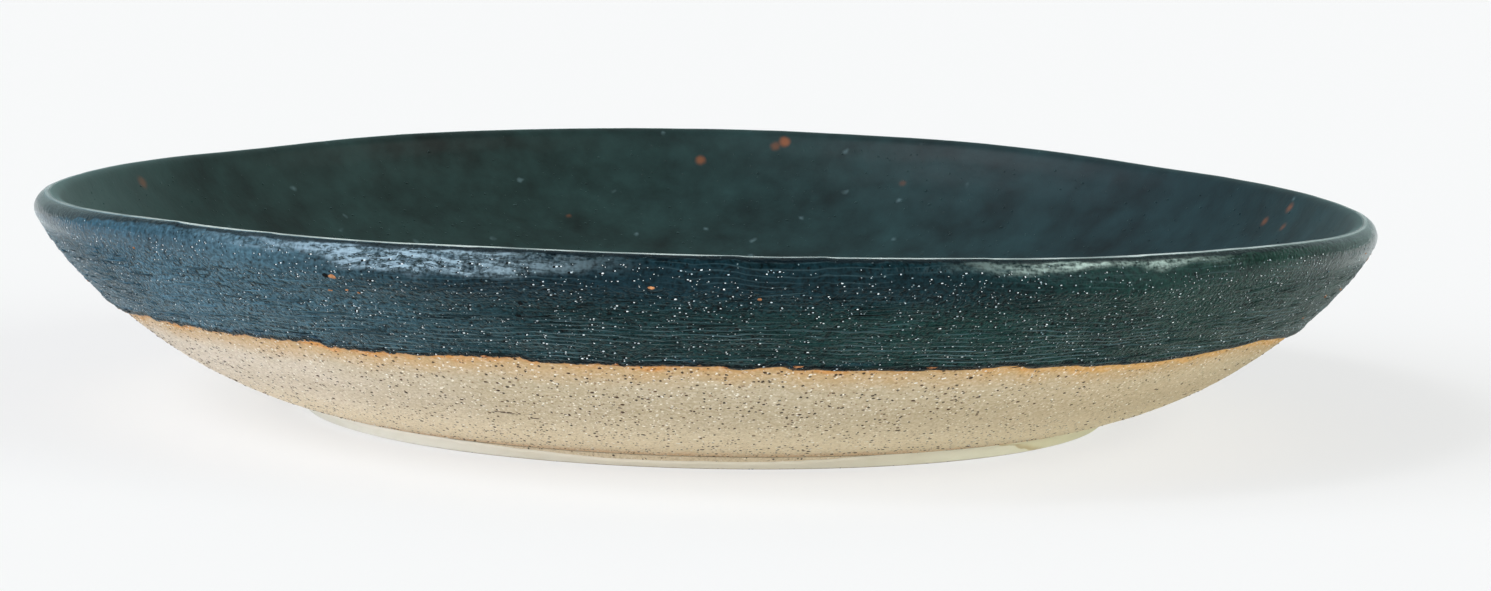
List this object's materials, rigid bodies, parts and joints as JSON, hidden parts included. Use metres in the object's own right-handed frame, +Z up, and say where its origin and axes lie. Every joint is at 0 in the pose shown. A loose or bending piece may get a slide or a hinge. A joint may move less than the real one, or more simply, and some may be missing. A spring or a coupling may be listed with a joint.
{
  "type": "platter",
  "caption": "Wide low stoneware platter with curved walls, a rolled lip, dark glaze inside and over the rim, bare speckled clay below and a low foot ring.",
  "frame": {"origin": "on the table, under the centre of the foot ring", "axes": "+Z up through the centre of the well; +X to the right and +Y away from someone who looks at the front of the platter"},
  "size_m": [0.3, 0.3, 0.0511],
  "materials": {
    "speckled_stoneware": "matte",
    "foot_clay": "matte",
    "blue_glaze": "satin",
    "liner_glaze": "satin",
    "pale_slip": "satin"
  },
  "bodies": {
    "root": {"clay_body": "speckled_stoneware", "foot_ring": "foot_clay", "outside_glaze": "blue_glaze", "liner_glaze": "liner_glaze", "foot_slip": "pale_slip"}
  },
  "joints": []
}
